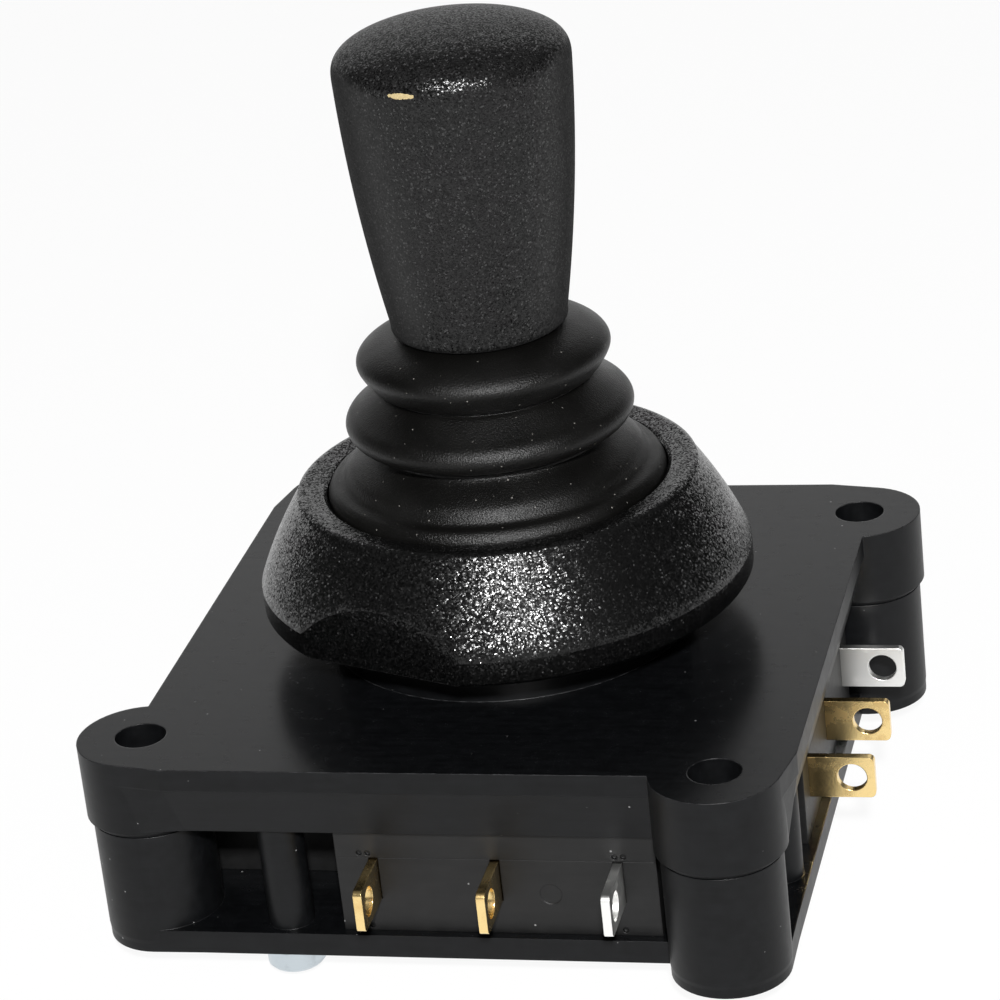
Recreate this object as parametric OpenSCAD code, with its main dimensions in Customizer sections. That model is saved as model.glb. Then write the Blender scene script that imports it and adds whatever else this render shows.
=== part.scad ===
// Industrial joystick with four snap switches, for mounting behind a panel.
// The origin is on the stick's axis, in the top face of the mounting plate. +Z runs up the
// stick and the front face looks along -Y. The housing repeats itself every quarter turn:
// each side carries one switch near one of its ends and one corner boss past the other.

/* [Housing] */
// Side of the square housing
body_w = 58.4; // [58:0.1:62]
// Side of the square of mounting holes
hole_pitch = 51.4; // [51:0.1:53]
// Turn of the square of holes against the housing, degrees
hole_twist = 5.96; // [5.5:0.1:6.5]
// Diameter of a mounting hole
hole_d = 4.5; // [3.5:0.1:5]
// Diameter of a corner boss of the upper housing
boss_d = 11.2; // [10.8:0.1:12]
// Diameter of a corner post of the base
post_d = 10.3; // [9:0.1:10.4]
// How far the slope from a boss to the next face runs along that face
corner_run = 4.35; // [3.6:0.1:5]
// Thickness of the mounting plate
plate_t = 3; // [2.4:0.1:3.6]
// Height of the wall round the mounting plate
skirt_h = 6.5; // [6.2:0.05:6.9]
// Thickness of that wall above the switches
skirt_t = 2; // [1.5:0.1:2.4]
// Height of the thin lip that hides the top of the switches
lip_h = 0.45; // [0.3:0.05:0.8]
// Thickness of that lip
lip_t = 0.7; // [0.5:0.1:0.8]
// Height of the plain band along the top of the wall
band_h = 2; // [1:0.1:3]
// How far the wall stands back below the band
band_step = 0.12; // [0.05:0.01:0.2]
// How far the wall leans in from the band down to its lower edge
wall_lean = 1.18; // [1.1:0.02:1.3]
// Height of a corner boss
boss_h = 7.23; // [7:0.05:8.5]
// Chamfer round the lower end of a boss
boss_chamfer = 0.5; // [0.2:0.1:0.8]
// Thickness of the base's floor
floor_t = 2.1; // [1.6:0.1:2.8]
// How far a corner post stands out below the floor
post_foot = 0.35; // [0.2:0.05:1]
// Rounding of the lower edge of a corner post
foot_round = 1.5; // [0.8:0.1:2]
// Thickness of the ribs under the plate
rib_t = 1.2; // [0.8:0.1:2]

/* [Screw pillars] */
// Diameter of a screw pillar
pillar_d = 4; // [3.8:0.1:4.6]
// Distance of a pillar from the middle of its side
pillar_x = 16; // [15.4:0.1:16.4]
// Distance of a pillar's centre from the base's face
pillar_in = 2.55; // [2.5:0.05:2.8]
// Diameter of a base screw
screw_d = 2.3; // [2:0.1:2.6]
// Diameter of a screw's head
screw_head_d = 5.1; // [4.4:0.1:5.4]
// Height of a screw's head
screw_head_h = 1.9; // [1.4:0.1:2.4]
// Plastic left above the tip of a screw
screw_cap = 1.6; // [1:0.1:2]
// Diameter of the driver recess
driver_d = 2.6; // [1.6:0.1:3]

/* [Switches] */
// Length of a switch
switch_l = 27.8; // [27:0.1:27.9]
// Depth of a switch, from its outer face to its inner one
switch_depth = 15.9; // [15:0.1:16]
// Thickness of a switch
switch_t = 10.3; // [10:0.1:11]
// How far a switch's outer face stands back from the wall's lower edge
switch_recess = 0.9; // [0.9:0.1:1]
// Distance of the plunger from the switch's near end
plunger_at = 10.8; // [10.2:0.1:10.9]
// Wall of a switch case
case_t = 1.1; // [0.8:0.1:1.3]
// Depth of the cover of a switch
cover_t = 3.2; // [2.9:0.1:3.4]
// Diameter of a switch's fixing holes
fix_hole_d = 3.1; // [2.6:0.1:3.2]
// Distance of a fixing hole from the edges of its corner
fix_inset = 2.8; // [2.6:0.1:3]
// Distance of the outer fixing hole from the switch's near end
fix_far_at = 20; // [19:0.1:20.6]
// Diameter of a plunger
plunger_d = 2.4; // [2:0.1:2.5]
// Depth of the snap blade behind the switch's inner face
blade_in = 6.5; // [6.3:0.1:7]
// How far a plunger stands out of its switch, half pressed
plunger_out = 1.1; // [0.9:0.05:1.3]
// Travel of a plunger each way from there
plunger_travel = 0.6; // [0.4:0.05:0.6]

/* [Terminals] */
// Places of the terminals along the side, from its middle
terminal_at = [-7.54, 3.08, 13.69];
// Thickness of a terminal
terminal_t = 0.75; // [0.5:0.05:1]
// Width of a terminal
terminal_w = 3.9; // [3.5:0.1:4.3]
// How far a terminal stands out of its switch
terminal_out = 5.8; // [4.6:0.1:6.4]
// Diameter of the soldering hole
terminal_hole_d = 2.6; // [1.6:0.1:2.8]
// Distance of that hole from the terminal's end
terminal_hole_in = 2; // [1.8:0.1:2.4]
// Rounding of a terminal's corners
terminal_round = 0.5; // [0.2:0.1:0.8]
// Thickness of the snap blade
blade_t = 0.25; // [0.15:0.05:0.3]
// Width of the snap blade
blade_w = 3.4; // [2.8:0.1:3.8]
// Gap between a plunger at rest and its blade
blade_gap = 0.5; // [0.45:0.05:0.7]

/* [Neck and bezel] */
// Wall of the neck that passes through the panel, above the gate plate
neck_wall = 2.4; // [2:0.1:3]
// Height of the neck
neck_h = 12; // [11.8:0.1:12.6]
// Room for the gimbal ring to swing in the neck
swing_gap = 0.9; // [0.8:0.05:1.2]
// Width of the ledge in the neck that carries the gate plate
ledge_w = 1.1; // [0.8:0.1:1.4]
// Thickest panel that fits under the bezel
panel_t = 4.3; // [4.2:0.1:5]
// How far the bezel's foot stands out round the neck
bezel_foot_w = 5.7; // [5.2:0.1:6.6]
// Height of the bezel's top above the plate
bezel_top = 14.65; // [14.5:0.05:15.5]
// Height of the upright band round the bezel's foot
bezel_band = 2.2; // [1.5:0.1:3]
// How far its top edge stands out round the neck, before it is rounded
bezel_rim_w = 1.3; // [1.2:0.05:1.8]
// How far its lip reaches in over the neck
bezel_cover = 1.05; // [0.8:0.05:1.1]
// How deep its two flats cut into the foot
flat_depth = 1.6; // [0.9:0.1:1.9]
// Direction of the first flat, degrees from +X
bezel_flat_turn = -110.2; // [-180:0.1:180]
// Outward bow of the bezel's cone
bezel_bow = 0.22; // [0.05:0.01:0.5]
// Thickness of the bezel's lip over the bellows
bezel_lip_t = 1.25; // [1:0.05:1.4]

/* [Gimbal] */
// Height of the pivot above the plate
pivot_z = 3; // [2.8:0.1:3.1]
// Largest tilt of the stick each way, degrees
tilt = 15; // [10:0.5:15]
// Outer diameter of the gimbal ring
ring_d = 23.6; // [22:0.1:23.8]
// Inner diameter of the gimbal ring
ring_bore = 17.4; // [17:0.1:18]
// Height of the gimbal ring
ring_h = 5; // [4:0.1:5.2]
// Diameter of the pivot pins
pin_d = 2.5; // [2:0.1:3]
// Diameter of the pivot hub
hub_d = 13; // [11:0.1:13.4]
// Height of the pivot hub
hub_h = 6; // [5:0.1:6.4]
// Thickness of the gate plate
gate_t = 1.2; // [0.8:0.1:1.4]
// Height of the gate plate's underside above the plate
gate_z = 9.4; // [9.2:0.1:9.6]

/* [Stick] */
// Diameter of the stick's shaft
shaft_d = 6; // [5:0.1:6.2]
// Height of the shaft's top
shaft_top = 46; // [42:0.5:50]
// Length of the shaft below the actuator's retaining clip
shaft_tail = 0.7; // [0.4:0.1:1]
// Free travel of the actuator before it meets a plunger
cam_gap = 3.45; // [3.4:0.05:3.8]
// Height of the actuator's flats
cam_h = 4.4; // [4:0.1:4.6]
// Diameter over the actuator's corners
cam_corner_d = 17.2; // [16.6:0.1:18]
// Diameter of the actuator's sleeve
sleeve_d = 9; // [8:0.1:10]
// Thickness of the retaining clip
clip_t = 0.7; // [0.5:0.1:0.8]
// Diameter of the retaining clip
clip_d = 8.8; // [8:0.1:9.4]
// Diameter of the groove for the clip
clip_groove_d = 5; // [4.4:0.1:5.4]

/* [Knob] */
// Height of the knob's foot above the plate
knob_z = 28.7; // [28.5:0.1:29.4]
// Height of the knob
knob_h = 27.8; // [24:0.1:32]
// Diameter of the knob's foot
knob_foot_d = 15.5; // [14:0.1:16.4]
// Largest diameter of the knob
knob_d = 20.7; // [19:0.1:23]
// Outward bow of the knob's side
knob_bow = 0.42; // [0.1:0.02:0.8]
// Rounding of the knob's shoulder
shoulder_r = 2.7; // [2:0.1:3.4]
// Rise of the knob's domed end
dome_h = 0.95; // [0.4:0.05:1.4]
// Diameter of the threaded insert
insert_d = 9.2; // [8:0.1:10]
// Length of the threaded insert
insert_l = 12; // [9:0.5:14]

/* [Bellows and spring] */
// Thickness of the bellows' wall
bellows_t = 0.7; // [0.5:0.05:0.8]
// Thickness of the bellows' clamped flange
flange_t = 1.3; // [1:0.05:1.5]
// Diameter of the lower fold
low_fold_d = 25.4; // [24.6:0.1:26.4]
// Height of the lower fold's widest line above the plate
low_fold_z = 20.6; // [20.3:0.1:20.9]
// Diameter of the upper fold
high_fold_d = 22.3; // [21.6:0.1:23.4]
// Height of the upper fold's widest line above the plate
high_fold_z = 26.2; // [25.9:0.1:26.4]
// Diameter of the groove between the folds
waist_d = 18.4; // [17.6:0.1:19]
// Diameter of the groove under the lower fold
low_waist_d = 20.8; // [20:0.1:21.4]
// Diameter of the spring's wire
wire_d = 0.9; // [0.6:0.1:1]
// Mean diameter of the spring's lowest turn
spring_low_d = 17.4; // [17.2:0.1:18]
// Mean diameter of the spring's highest turn
spring_high_d = 10.2; // [10:0.1:10.6]
// Turns of the spring
spring_turns = 5.5; // [4:0.5:7]
// Height of the spring collar's flange above the plate
spring_top = 25.4; // [25:0.1:25.6]

/* [Fits] */
// Gap between fixed parts that slip together
slip = 0.1; // [0.05:0.01:0.15]
// Gap round a pin or a shaft that turns
running = 0.04; // [0.02:0.01:0.08]

/* [Hidden] */
$fn = 64;
SIDES = ["front", "right", "rear", "left"];
SWITCH_PARTS = ["case", "cover", "plunger", "blade", "gold_terminals", "silver_terminal"];
eps = 0.01;

// The housing in plan
half = body_w / 2;
wall_half = half - band_step - wall_lean; // at the wall's lower edge and all down the base
hole_x = hole_pitch / 2 * (cos(hole_twist) - sin(hole_twist));
hole_y = -hole_pitch / 2 * (cos(hole_twist) + sin(hole_twist));
pillar_y = -wall_half + pillar_in;

// Heights, all from the plate's top face
seat_z = -(skirt_h - lip_h);          // what the switches are held down by
switch_top = seat_z - slip;
switch_floor = switch_top - switch_t; // top of the base's floor
floor_z = switch_floor - floor_t;
plunger_z = switch_top - switch_t / 2;
split_z = switch_top - cover_t;       // joint between a switch's case and cover
bezel_z = panel_t;
flange_z = neck_h;
lip_z = neck_h + flange_t + slip;     // underside of the bezel's lip

// The switches in plan
switch_x0 = -plunger_at;
switch_x1 = switch_x0 + switch_l;
face_y = -wall_half + switch_recess;
inner_y = face_y + switch_depth;
tip_y = inner_y + plunger_out;
fix_holes = [
    [switch_x0 + fix_inset, inner_y - fix_inset],
    [switch_x0 + fix_far_at, face_y + fix_inset]
];
fix_tube_d = fix_hole_d + 1.6;
fix_pin_d = fix_hole_d - 2 * slip;
fix_pin_in = 1;                       // depth of a pin's end in the floor
plunger_head_d = plunger_d + 1.2;
plunger_head_h = 1;
plunger_in = blade_in - blade_gap;
blade_y = inner_y - blade_in;
contact_d = 2.4;
contact_t = 0.6;
contact_gap = 0.9;

// The neck and the bezel, from the gimbal ring outwards
well_d = ring_d + 2 * swing_gap;
mouth_d = well_d + 2 * ledge_w;
neck_d = mouth_d + 2 * neck_wall;
bezel_d = neck_d + 2 * bezel_foot_w;
bezel_rim_d = neck_d + 2 * bezel_rim_w;
bezel_mouth_d = neck_d - 2 * bezel_cover;
bezel_flat = bezel_d / 2 - flat_depth;

// The stick
gate_top = gate_z + gate_t;
gate_half = (gate_top - pivot_z) * tan(tilt) + shaft_d / 2 / cos(tilt) + 0.08;
hub_foot = pivot_z - hub_h / 2;
cam_half = -tip_y - cam_gap;
cam_z = plunger_z;
cam_foot = cam_z - cam_h / 2;
clip_z = cam_foot - clip_t;
shaft_foot = clip_z - shaft_tail;
knob_top = knob_z + knob_h;

// One copy of what follows on each side of the housing
module each_side() {
    for (i = [0:3]) rotate(90 * i) children();
}

// What follows at the pillars of the front and the rear, which take the screws
module each_screw() {
    for (i = [0, 2]) rotate(90 * i) translate([-pillar_x, pillar_y, 0]) children();
}

function turned(p, i) = i == 0 ? p : turned([-p[1], p[0]], i - 1);

// Points along a circular arc that bows to the right of the way from a to b by s
function bowed(a, b, s, n) =
    let (c = norm(b - a), r = (c * c / 4 + s * s) / (2 * s), open = 2 * asin(c / 2 / r),
         u = (b - a) / c, v = [u[1], -u[0]], m = (a + b) / 2 + v * (s - r))
    [for (k = [0:n]) let (t = open * (k / n - 0.5)) m + v * r * cos(t) + u * r * sin(t)];

// Points along a circular arc about c from angle a0 to a1
function arc(c, r, a0, a1, n) =
    [for (k = [0:n]) let (t = a0 + (a1 - a0) * k / n) c + r * [cos(t), sin(t)]];

// A smooth line through points, with n steps between each two
function smooth(p, n) = concat(
    [for (i = [0:len(p) - 2], k = [0:n - 1])
        let (a = p[max(i - 1, 0)], b = p[i], c = p[i + 1], d = p[min(i + 2, len(p) - 1)],
             t = k / n)
        (2 * b + (c - a) * t + (2 * a - 5 * b + 4 * c - d) * t * t
            + (3 * b - a - 3 * c + d) * t * t * t) / 2],
    [p[len(p) - 1]]);

// The same line moved by t to the left of its way
function shifted(p, t) =
    [for (i = [0:len(p) - 1])
        let (d = p[min(i + 1, len(p) - 1)] - p[max(i - 1, 0)])
        p[i] + t * [-d[1], d[0]] / norm(d)];

// A square with its corners cut off where the bosses take over
module cut_square(h, run) {
    polygon([for (i = [0:3]) each [turned([hole_x, -h], i), turned([h, -h + run], i)]]);
}

// The housing in plan, with bosses of radius r that slope back to the next face
module outline(h, r) {
    cut_square(h, corner_run);
    each_side() boss_outline(h, r);
}

module boss_outline(h, r) {
    translate([hole_x, hole_y]) circle(r);
    boss_slope(h, r);
}

module boss_slope(h, r) {
    c = [hole_x, hole_y];
    end = [h, -h + corner_run];
    way = end - c;
    tangent = atan2(way[1], way[0]) - acos(r / norm(way));
    polygon([c, c + r * [cos(tangent), sin(tangent)], end, [hole_x, end[1]]]);
}

module tube(d, bore, h) {
    difference() {
        cylinder(d = d, h = h);
        translate([0, 0, -eps]) cylinder(d = bore, h = h + 2 * eps);
    }
}

// ---- Housing ----

// Upper housing: mounting plate, wall, corner bosses and the neck through the panel
module top_housing() color("#26272a") difference() {
    union() {
        translate([0, 0, -band_h]) linear_extrude(band_h) outline(half, boss_d / 2);
        skirt();
        each_side() translate([hole_x, hole_y, 0]) corner_boss();
        each_side() translate([-pillar_x, pillar_y, seat_z])
            cylinder(r = pillar_in - slip, h = -seat_z - plate_t + eps);
        each_side() translate([-rib_t / 2, -wall_half + skirt_t / 2, seat_z])
            cube([rib_t, switch_depth / 2, -seat_z - plate_t + eps]);
        neck();
    }
    translate([0, 0, seat_z - 1]) cylinder(d = well_d, h = gate_z - seat_z + 1);
    translate([0, 0, gate_z]) cylinder(d = mouth_d, h = neck_h);
    each_side() translate([hole_x, hole_y, -boss_h - 1]) cylinder(d = hole_d, h = boss_h + 2);
    each_screw() translate([0, 0, seat_z - 1])
        cylinder(d = screw_d + 2 * running, h = -seat_z - screw_cap + 1);
    for (s = [0, 180]) rotate([0, 90, s]) translate([-pivot_z, 0, well_d / 2 - 1])
        cylinder(d = pin_d, h = (neck_d - well_d) / 2 + 2);
}

// The lower part of the plate and the leaning wall below it, with a thin lip at its foot
module skirt() difference() {
    top = half - band_step;
    union() {
        hull() {
            slab(-band_h) cut_square(top, corner_run);
            slab(-skirt_h) cut_square(wall_half, corner_run);
        }
        each_side() hull() {
            slab(-band_h) boss_slope(top, boss_d / 2);
            slab(-skirt_h) boss_slope(wall_half, boss_d / 2);
        }
    }
    translate([0, 0, -skirt_h - 1]) linear_extrude(lip_h + 1)
        cut_square(wall_half - lip_t, corner_run);
    translate([0, 0, seat_z - eps]) linear_extrude(-seat_z - plate_t + eps)
        cut_square(wall_half - skirt_t, corner_run);
}

module slab(z) translate([0, 0, z]) linear_extrude(eps) children();

module corner_boss() {
    r = boss_d / 2;
    rotate_extrude() polygon([[0, 0], [0, -boss_h], [r - boss_chamfer, -boss_h],
        [r, -boss_h + boss_chamfer], [r, 0]]);
}

// The neck has a bead that the bezel snaps over
module neck() {
    r = neck_d / 2;
    bead = 0.35;
    bead_z = (bezel_z + neck_h) / 2;
    rotate_extrude() polygon([[0, -eps], [r, -eps], [r, bead_z - 2 * bead], [r + bead, bead_z],
        [r, bead_z + 2 * bead], [r, neck_h], [0, neck_h]]);
}

// Base: a floor with corner posts, pillars and holes for the switch pins
module base_housing() color("#26272a") difference() {
    union() {
        translate([0, 0, floor_z]) linear_extrude(floor_t) outline(wall_half, (post_d - slip) / 2);
        each_side() translate([hole_x, hole_y, 0]) corner_post();
        each_side() translate([-pillar_x, pillar_y, floor_z])
            cylinder(d = pillar_d, h = seat_z - slip - floor_z);
    }
    each_side() for (p = fix_holes) translate([p[0], p[1], switch_floor - fix_pin_in])
        cylinder(d = fix_pin_d + 0.01, h = fix_pin_in + 1);
    each_side() translate([hole_x, hole_y, floor_z - post_foot - 1])
        cylinder(d = hole_d, h = -floor_z - boss_h + post_foot + 2);
    each_screw() translate([0, 0, floor_z - 1])
        cylinder(d = screw_d + 2 * slip, h = seat_z - floor_z + 2);
}

module corner_post() {
    r = post_d / 2;
    foot = floor_z - post_foot;
    rotate_extrude() polygon(concat([[0, -boss_h - slip / 2], [0, foot]],
        arc([r - foot_round, foot + foot_round], foot_round, -90, 0, 6),
        [[r, -boss_h - slip / 2]]));
}

// Two screws with flat heads that hold the base to the upper housing from below
module base_screws() color("#d5d8d6") each_screw() {
    r = screw_head_d / 2;
    foot = floor_z - screw_head_h;
    difference() {
        rotate_extrude() polygon([[0, floor_z], [r, floor_z], [r, foot + 0.3],
            [r - 0.25, foot], [0, foot]]);
        for (a = [0, 90]) rotate(a) translate([-driver_d / 2, -0.3, foot - 1])
            cube([driver_d, 0.6, 1.9]);
    }
    translate([0, 0, floor_z - eps]) cylinder(d = screw_d, h = -floor_z - screw_cap - 0.4);
}

// Eight pins in the floor that locate the switches by their fixing holes
module switch_pins() color("#b4b6b8") each_side() for (p = fix_holes)
    translate([p[0], p[1], switch_floor - fix_pin_in])
        cylinder(d = fix_pin_d, h = fix_pin_in + switch_t - 1);

// ---- Bezel and gate ----

// Bezel: a cone over the neck, with two flats and a snap groove in its bore
module bezel() color("#1b1b1c") difference() {
    rotate_extrude() polygon(bezel_section());
    for (s = [0, 180]) rotate(bezel_flat_turn + s)
        translate([bezel_flat, -bezel_d / 2, bezel_z - 1]) cube([bezel_d, bezel_d, bezel_top]);
}

function bezel_section() =
    let (bore = neck_d / 2 + slip, foot_r = bezel_d / 2, rim_r = bezel_rim_d / 2,
         rim_round = 0.9, groove = 0.35, groove_z = (bezel_z + neck_h) / 2,
         core_in = bore + 1.3, core_out = core_in + 1.2, core_h = 4.5)
    concat(
        [[bore, bezel_z], [core_in, bezel_z], [core_in, bezel_z + core_h],
         [core_out, bezel_z + core_h], [core_out, bezel_z],
         [foot_r - 0.2, bezel_z], [foot_r, bezel_z + 0.3]],
        bowed([foot_r, bezel_z + bezel_band],
            [rim_r + rim_round * 0.6, bezel_top - rim_round], bezel_bow, 8),
        arc([rim_r - rim_round * 0.4, bezel_top - rim_round], rim_round, 45, 90, 4),
        [[bezel_mouth_d / 2 + 0.3, bezel_top - 0.2], [bezel_mouth_d / 2, bezel_top - 0.45],
         [bezel_mouth_d / 2, lip_z], [bore, lip_z],
         [bore, groove_z + 2 * groove], [bore + groove, groove_z], [bore, groove_z - 2 * groove]]);

// Gate plate: its square hole stops the stick and its upper face carries the spring
module gate_plate() color("#b9bcbd") translate([0, 0, gate_z]) difference() {
    union() {
        cylinder(d = mouth_d - 2 * slip, h = gate_t);
        tube(spring_low_d + wire_d + 1.8, spring_low_d + wire_d + 2 * slip, gate_t + wire_d);
    }
    translate([-gate_half, -gate_half, -1]) cube([2 * gate_half, 2 * gate_half, gate_t + 2]);
}

// ---- Bellows and spring ----

// The bellows' outer line, from the bezel's mouth up to the knob
bellows_line = smooth([
    [bezel_mouth_d / 2 - 0.2, flange_z + flange_t + 0.35],
    [bezel_mouth_d / 2 - 0.2, bezel_top - 0.25],
    [bezel_mouth_d / 2 - 0.7, bezel_top + 0.5],
    [bezel_mouth_d / 2 - 1.6, bezel_top + 0.9],
    [(bezel_mouth_d + low_waist_d) / 4, (bezel_top + low_fold_z) / 2 - 0.9],
    [low_waist_d / 2 + 0.3, low_fold_z - 2.5],
    [low_waist_d / 2, low_fold_z - 1.95],
    [low_waist_d / 2 + 0.8, low_fold_z - 1.5],
    [low_fold_d / 2 - 0.45, low_fold_z - 0.95],
    [low_fold_d / 2, low_fold_z],
    [low_fold_d / 2 - 0.4, low_fold_z + 0.9],
    [low_fold_d / 2 - 1.4, low_fold_z + 1.65],
    [waist_d / 2 + 0.55, (low_fold_z + high_fold_z) / 2],
    [waist_d / 2, (low_fold_z + high_fold_z) / 2 + 0.4],
    [waist_d / 2 + 0.7, high_fold_z - 2],
    [high_fold_d / 2 - 0.45, high_fold_z - 1],
    [high_fold_d / 2, high_fold_z],
    [high_fold_d / 2 - 0.4, high_fold_z + 0.85],
    [high_fold_d / 2 - 1.5, high_fold_z + 1.6],
    [knob_foot_d / 2 + 0.5, knob_z - 0.4],
    [knob_foot_d / 2 - 0.8, knob_z - slip]
], 4);

module bellows() color("#202021") rotate_extrude() polygon(concat(
    [[neck_d / 2 - 0.3, flange_z], [neck_d / 2 - 0.3, flange_z + flange_t],
     [bellows_line[0][0], flange_z + flange_t]],
    bellows_line,
    [[collar_pilot_d / 2 + slip, knob_z - slip],
     [collar_pilot_d / 2 + slip, knob_z - slip - bellows_t]],
    [for (i = [len(bellows_line) - 1:-1:0]) shifted(bellows_line, bellows_t)[i]],
    [[mouth_d / 2, flange_z]]));

// Conical centring spring, closed down to the gate plate and up to the collar
spring_foot = gate_top + wire_d / 2 + slip / 2;
spring_head = spring_top - wire_d / 2 - slip / 2;
spring_steps = 18;
wire_sides = 8;

function spring_point(t) =
    let (lift = t - sin(360 * t) / 360 * 50)
    [lerp(spring_low_d, spring_high_d, t) / 2 * cos(360 * spring_turns * t),
     lerp(spring_low_d, spring_high_d, t) / 2 * sin(360 * spring_turns * t),
     lerp(spring_foot, spring_head, lift)];

function lerp(a, b, t) = a + (b - a) * t;

function wire_ring(t) =
    let (p = spring_point(t), a = 360 * spring_turns * t)
    [for (k = [0:wire_sides - 1]) let (w = 360 * k / wire_sides)
        p + wire_d / 2 * [cos(w) * cos(a), cos(w) * sin(a), sin(w)]];

module centring_spring() {
    rings = floor(spring_turns * spring_steps);
    n = wire_sides;
    points = [for (i = [0:rings]) each wire_ring(i / rings)];
    sides = [for (i = [0:rings - 1], k = [0:n - 1]) let (m = (k + 1) % n)
        [i * n + k, i * n + m, (i + 1) * n + m, (i + 1) * n + k]];
    ends = [[for (k = [n - 1:-1:0]) k], [for (k = [0:n - 1]) rings * n + k]];
    color("#9a9c9e") polyhedron(points, concat(sides, ends), convexity = 8);
}

// ---- Gimbal ----

// Two pins in the neck's wall that the gimbal ring tilts on, front to back
module trunnion_pins() color("#c4c6c8") for (s = [0, 180]) rotate([0, 90, s])
    translate([-pivot_z, 0, ring_bore / 2 + 0.3])
        cylinder(d = pin_d - 0.01, h = (neck_d - ring_bore) / 2 - 0.4);

module gimbal_ring() color("#cfcbbd") translate([0, 0, pivot_z]) difference() {
    translate([0, 0, -ring_h / 2]) tube(ring_d, ring_bore, ring_h);
    rotate([0, 90, 0]) translate([0, 0, -ring_d]) cylinder(d = pin_d + 2 * running, h = 2 * ring_d);
    rotate([90, 0, 0]) translate([0, 0, -ring_d]) cylinder(d = pin_d, h = 2 * ring_d);
}

// The pin through ring, hub and shaft that the stick tilts on, side to side
module cross_pin() color("#c4c6c8") translate([0, 0, pivot_z]) rotate([90, 0, 0])
    translate([0, 0, -ring_d / 2 + 0.4]) cylinder(d = pin_d - 0.01, h = ring_d - 0.8);

module pivot_hub() color("#e2dfd4") translate([0, 0, pivot_z]) difference() {
    rotate_extrude() polygon([[shaft_d / 2 + running, -hub_h / 2], [hub_d / 2 - 1, -hub_h / 2],
        [hub_d / 2, -hub_h / 2 + 1], [hub_d / 2, hub_h / 2 - 1], [hub_d / 2 - 1, hub_h / 2],
        [shaft_d / 2 + running, hub_h / 2]]);
    rotate([90, 0, 0]) translate([0, 0, -hub_d]) cylinder(d = pin_d + 2 * running, h = 2 * hub_d);
}

// ---- Stick ----

module shaft() color("#c9cbcc") difference() {
    chamfer = 0.5;
    rotate_extrude() polygon([[0, shaft_foot], [shaft_d / 2 - chamfer, shaft_foot],
        [shaft_d / 2, shaft_foot + chamfer], [shaft_d / 2, clip_z - slip],
        [clip_groove_d / 2, clip_z - slip], [clip_groove_d / 2, cam_foot - slip / 2],
        [shaft_d / 2, cam_foot - slip / 2], [shaft_d / 2, shaft_top - chamfer],
        [shaft_d / 2 - chamfer, shaft_top], [0, shaft_top]]);
    translate([0, 0, pivot_z]) rotate([90, 0, 0]) translate([0, 0, -shaft_d])
        cylinder(d = pin_d + 2 * running, h = 2 * shaft_d);
}

// The clip in the shaft's groove that the actuator rests on
module retaining_clip() color("#8f9193") translate([0, 0, clip_z]) difference() {
    cylinder(d = clip_d, h = clip_t - slip);
    translate([0, 0, -1]) cylinder(d = clip_groove_d + 2 * running, h = clip_t + 2);
    translate([0, -clip_groove_d / 2 + 0.4, -1]) cube([clip_d, clip_groove_d - 0.8, clip_t + 2]);
}

// Square actuator: its sides are barrel shaped, so that each pushes its plunger squarely
module actuator() color("#e2dfd4") difference() {
    union() {
        intersection() {
            translate([0, 0, cam_z]) rotate([90, 0, 0])
                cylinder(r = cam_half, h = 3 * cam_half, center = true, $fn = 128);
            translate([0, 0, cam_z]) rotate([0, 90, 0])
                cylinder(r = cam_half, h = 3 * cam_half, center = true, $fn = 128);
            translate([0, 0, cam_foot]) cylinder(d = cam_corner_d, h = cam_h);
        }
        translate([0, 0, cam_z]) cylinder(d = sleeve_d, h = hub_foot - slip - cam_z);
    }
    translate([0, 0, cam_foot - 1])
        cylinder(d = shaft_d + 2 * running, h = hub_foot - cam_foot + 2);
}

// The collar under the knob that the spring pushes up on
collar_pilot_d = spring_high_d - wire_d - 2 * slip;

module spring_collar() color("#8f9193") rotate_extrude() polygon([
    [shaft_d / 2 + running, spring_top - 1.6],
    [collar_pilot_d / 2 - 0.3, spring_top - 1.6],
    [collar_pilot_d / 2, spring_top - 1.2],
    [collar_pilot_d / 2, spring_top],
    [(spring_high_d + wire_d) / 2 + 0.3, spring_top],
    [(spring_high_d + wire_d) / 2 + 0.3, spring_top + 1],
    [collar_pilot_d / 2, spring_top + 1],
    [collar_pilot_d / 2, knob_z - slip],
    [shaft_d / 2 + running, knob_z - slip]]);

// Knob: a tapered grip with a soft shoulder, moulded over a threaded insert
module knob() color("#202021") difference() {
    r = knob_d / 2;
    shoulder_z = knob_top - dome_h - shoulder_r * 0.85;
    foot_r = knob_foot_d / 2;
    rotate_extrude() polygon(concat(
        [[0, knob_z], [foot_r - 0.6, knob_z]],
        arc([foot_r - 0.6, knob_z + 0.6], 0.6, -90, -10, 4),
        bowed([foot_r, knob_z + 1], [r, shoulder_z], knob_bow, 10),
        arc([r - shoulder_r, shoulder_z], shoulder_r, 8, 60, 6),
        [for (k = [0:8]) let (x = (r - shoulder_r) * (1 - k / 8))
            [x, knob_top - dome_h * pow(x / (r - shoulder_r), 2) * 0.6]]));
    translate([0, 0, knob_z - 1]) cylinder(d = insert_d, h = insert_l + 1.2);
    translate([0, 0, knob_z]) cylinder(d = shaft_d + 2 * running, h = shaft_top + 0.5 - knob_z);
}

module knob_insert() color("#c9a24a") translate([0, 0, knob_z + 0.2])
    tube(insert_d - 0.02, shaft_d + 2 * running, insert_l - 0.2);

// ---- Switches: each is drawn on the front side and turned to its own ----

module switch_block(z0, z1) {
    translate([switch_x0, face_y, z0]) cube([switch_l, switch_depth, z1 - z0]);
}

module switch_cavity(z0, z1) {
    translate([switch_x0 + case_t, face_y + case_t, z0])
        cube([switch_l - 2 * case_t, switch_depth - 2 * case_t, z1 - z0]);
}

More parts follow.
